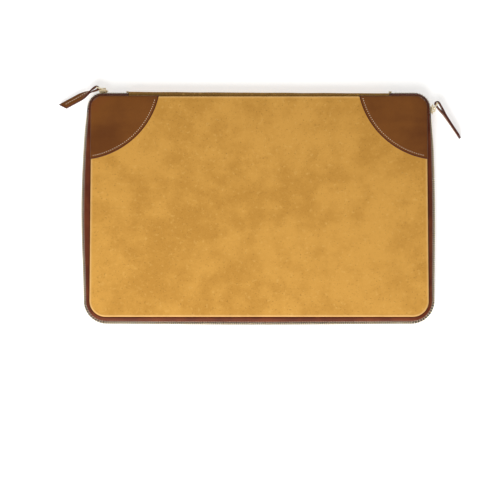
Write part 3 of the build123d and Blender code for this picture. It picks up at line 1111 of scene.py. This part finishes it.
# Zip stops, sliders and links.  They are cast and polished brass, as the teeth are.  A stop clamps
# both tapes at each closed end, a slider runs on the rows, and a link swings in its bridge.
for side in ("left", "right"):
    for part in ("zip_stop", "slider", "link"):
        metal = frame["nodes"][f"{side}_{part}"].data
        metal.materials.clear()
        metal.materials.append(polished_brass)


# Spine.  One strip of the same nubuck joins the two covers along the back and is what the case
# folds about.  Its nubuck is a darker copy, painted shade for the shade the spine lies in, and it
# is painted paler along its outermost bow, painted highlight and wear.  It bows out more at its
# left end, where it stands proud of the zip.
SPINE_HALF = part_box("spine_back_half")[1].x
SPINE_STEPS = 120
SPINE_LINE = (
    (-2.0, 3.9), (0.0, 3.6), (1.2, 3.5), (2.6, 3.8), (4.0, 4.6), (5.1, 5.9), (5.75, 7.6),
    (6.0, 9.4), (6.05, 11.0),
)
SPINE_T = 1.2 * MM
SPINE_LEFT = 1.03
SPINE_RIGHT = 0.74
SPINE_RIPPLE = 0.12 * MM
SPINE_WEAR_AND_HIGHLIGHT = 0.25
SPINE_WEAR_AND_HIGHLIGHT_FADE = (4.5 * MM, 6 * MM)

spine_outer = [Vector(p) * MM for p in SPINE_LINE]
spine_outer += [Vector((p.x, CASE_T - p.y)) for p in spine_outer[-2::-1]]
spine_inner = []
for k, point in enumerate(spine_outer):
    before, after = spine_outer[max(k - 1, 0)], spine_outer[min(k + 1, len(spine_outer) - 1)]
    run = (after - before).normalized()
    spine_inner.append(point + Vector((-run.y, run.x)) * SPINE_T)
spine_section = spine_outer + spine_inner[::-1]


def spine_point(x, out, depth):
    """A point of the spine: it lies flatter towards the right, and ripples a little."""
    share = (x / SPINE_HALF + 1) / 2
    fullness = SPINE_LEFT - (SPINE_LEFT - SPINE_RIGHT) * share ** 0.8
    ripple = SPINE_RIPPLE * math.sin(38.0 * share + 1.0) * math.sin(7.0 * share)
    return Vector((x, HALF_D + out * fullness + ripple * max(out / (6 * MM), 0), depth))


points = []
for step in range(SPINE_STEPS + 1):
    x = SPINE_HALF * (2 * step / SPINE_STEPS - 1)
    points += [spine_point(x, p.x, p.y) for p in spine_section]
sides = len(spine_section)
faces = []
for step in range(SPINE_STEPS):
    for k in range(sides):
        a, b = step * sides + k, step * sides + (k + 1) % sides
        faces.append((a, b, b + sides, a + sides))
faces += [tuple(range(sides)), tuple(range(SPINE_STEPS * sides, (SPINE_STEPS + 1) * sides))]
# Painted shade: a darker copy of the covers' nubuck stands in for the shade on the spine.
spine_hide_in_painted_shade = nubuck("spine_nubuck_painted_shade", rgb(160, 120, 58), rgb(138, 98, 42))
spine = mesh_piece("nubuck_spine", points, faces, spine_hide_in_painted_shade, None, 50.0)
# Painted highlight and wear along the outermost bow of the spine.
carry(spine, "wear_and_highlight", lambda co: SPINE_WEAR_AND_HIGHLIGHT * soft_step(co.y - HALF_D, *SPINE_WEAR_AND_HIGHLIGHT_FADE))
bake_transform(spine)
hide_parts("spine_back_half", "spine_front_half")


# Pulls.  Each is a strap of brown leather folded round its link, the two layers glued and sewn
# together, its edges painted dark and its end cut at a slant.
PULL_L = 43.0 * MM
PULL_T = 1.15 * MM
PULL_EYE_R = 1.7 * MM
PULL_NECK = 2.7 * MM
PULL_HALF_W = 4.0 * MM
PULL_SLANT = 5.5 * MM
PULL_DROOP = math.radians(7.5)
PULL_STEPS = 30
PULL_TURN_AT = 1.0 * MM
PULL_GLUE = 0.02 * MM
PULL_SEAM_END = 3 * MM
PULL_SHOULDER = (3 * MM, 13 * MM)
PULL_TWIST_FROM = 2 * MM
PULL_SEAM_PROUD = 0.62
PULL_STITCH_PITCH = 2.4 * MM
PULL_STITCH_L = 1.5 * MM
PULL_THREAD_R = 0.28 * MM


def pull_run(gape, join):
    """The middle of the strap, from its tip, back round the link and out to its tip again."""
    reach = PULL_EYE_R + PULL_T / 2
    out = []
    for step in range(PULL_STEPS + 1):
        x = PULL_L - (PULL_L - PULL_TURN_AT) * step / PULL_STEPS
        apart = soft_step(join - x, 0.0, join) ** 0.8
        out.append(Vector((x, PULL_T / 2 + PULL_GLUE + (reach - PULL_T / 2) * apart * gape)))
    half_turn = [
        Vector((reach * gape * math.cos(a), reach * gape * math.sin(a)))
        for a in (math.radians(90 + 180 * k / 10) for k in range(1, 10))
    ]
    back = [Vector((p.x, -p.y)) for p in reversed(out)]
    return out + half_turn + back


def pull_piece(name, bar, heading, twist, turned, gape, join, body):
    """A folded strap on a link's bar, which twists by so many degrees over a share of its length."""
    run = pull_run(gape, join)
    turn = Vector((math.cos(math.radians(heading)), math.sin(math.radians(heading)), 0))
    side = Vector((-turn.y, turn.x, 0))
    ahead = turn * math.cos(PULL_DROOP) - Vector((0, 0, math.sin(PULL_DROOP)))
    up = ahead.cross(side) * -1

    def placed(x, y, z):
        roll = math.radians(twist) * soft_step(x, PULL_TWIST_FROM, PULL_L * turned)
        y, z = y * math.cos(roll) - z * math.sin(roll), y * math.sin(roll) + z * math.cos(roll)
        return Vector(bar) + ahead * x + side * y + up * z

    section = [
        (-0.5, -0.94), (-0.4, -0.985), (0.0, -1.0), (0.4, -0.985), (0.5, -0.94), (0.54, -0.5),
        (0.56, 0.0), (0.54, 0.5), (0.5, 0.94), (0.4, 0.985), (0.0, 1.0), (-0.4, 0.985),
        (-0.5, 0.94), (-0.5, 0.5), (-0.5, 0.0), (-0.5, -0.5),
    ]
    points = []
    painted = []
    seams = []
    for k, place in enumerate(run):
        before, after = run[max(k - 1, 0)], run[min(k + 1, len(run) - 1)]
        tangent = (after - before).normalized()
        normal = Vector((tangent.y, -tangent.x))
        wide = PULL_NECK + (PULL_HALF_W - PULL_NECK) * soft_step(place.x, *PULL_SHOULDER)
        for thick, across in section:
            spot = place + normal * (thick * PULL_T)
            z = across * wide
            cut = PULL_SLANT * (0.5 - z / (2 * PULL_HALF_W))
            cut *= soft_step(place.x, PULL_L * 0.6, PULL_L)
            points.append(placed(spot.x - cut, spot.y, z))
            painted.append(1.0 if abs(across) > 0.95 or k in (0, len(run) - 1) else 0.0)
        if join * 0.8 < place.x < PULL_L - PULL_SEAM_END:
            spot = place + normal * (PULL_SEAM_PROUD * PULL_T)
            lie = placed(spot.x, spot.y, 0) - placed(place.x, place.y, 0)
            seams.append((placed(spot.x, spot.y, 0), lie.normalized(), k < len(run) / 2))
    sides = len(section)
    faces = []
    for k in range(len(run) - 1):
        for j in range(sides):
            a, b = k * sides + j, k * sides + (j + 1) % sides
            faces.append((a, b, b + sides, a + sides))
    faces += [tuple(range(sides)), tuple(range((len(run) - 1) * sides, len(run) * sides))]
    strap = mesh_piece(name + "_strap", points, faces, brown_cowhide, body, 60.0)
    edges = {tuple(round(c, 6) for c in p): w for p, w in zip(points, painted)}
    carry(strap, "painted", lambda co: edges.get(tuple(round(c, 6) for c in co), 0.0))
    for layer, first in (("upper", True), ("lower", False)):
        holes = [(place, lie) for place, lie, upper in seams if upper == first]
        row = sewn(
            f"{name}_{layer}_stitches",
            holes,
            body,
            PULL_STITCH_PITCH,
            PULL_STITCH_L,
            PULL_THREAD_R,
        )
    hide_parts(name)


for name, heading, twist, turned, gape, join in (
    ("left_pull", 207.0, 66.0, 0.5, 0.72, 9 * MM),
    ("right_pull", -55.0, -8.0, 0.75, 0.85, 15 * MM),
):
    bar = next(joint["pos_m"] for joint in frame["joints"] if joint["name"] == name + "_swing")
    pull_piece(name, bar, heading, twist, turned, gape, join, name + "_body")


size = {
    "cad": [list(corner) for corner in cad_box],
    "visual": [list(corner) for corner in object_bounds()],
}
